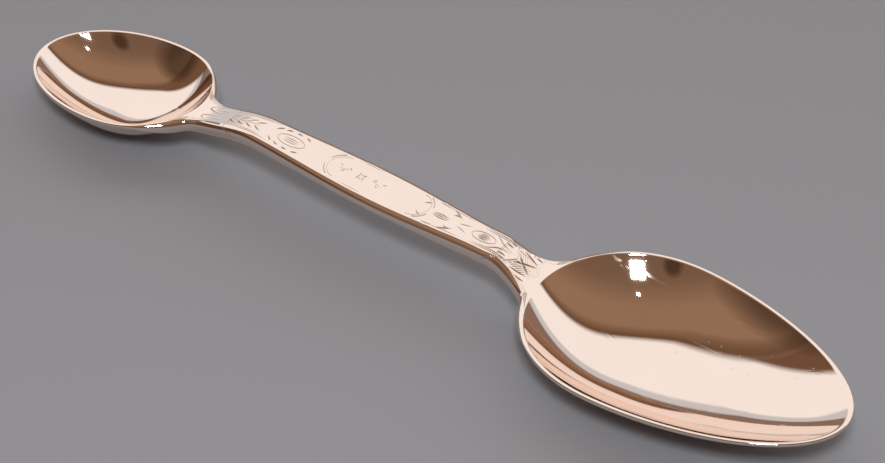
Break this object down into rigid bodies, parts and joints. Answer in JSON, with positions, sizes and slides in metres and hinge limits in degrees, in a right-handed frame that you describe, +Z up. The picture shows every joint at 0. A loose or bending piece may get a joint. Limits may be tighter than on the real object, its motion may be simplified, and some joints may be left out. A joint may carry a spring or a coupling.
{
  "type": "double-ended spoon",
  "caption": "Double-ended metal spoon: a large egg-shaped bowl and a small oval bowl joined by a short flat handle engraved with leaves and scrolls.",
  "frame": {"origin": "on the resting plane, half way between the two tips, on the spoon's centre line", "axes": "+X along the spoon towards the large bowl's tip, +Y across it, +Z up out of the bowls"},
  "size_m": [0.18, 0.0398, 0.0131],
  "materials": {
    "bowl_silver": "mirror-polished silver with fine wear scratches, warm rose tone",
    "handle_silver": "polished silver with bright-cut engraving, slightly softer than the bowls",
    "silver_solder": "filed and polished flush silver solder"
  },
  "bodies": {
    "root": {"large_bowl": "bowl_silver", "small_bowl": "bowl_silver", "handle": "handle_silver", "large_bowl_solder": "silver_solder", "small_bowl_solder": "silver_solder"}
  },
  "joints": []
}
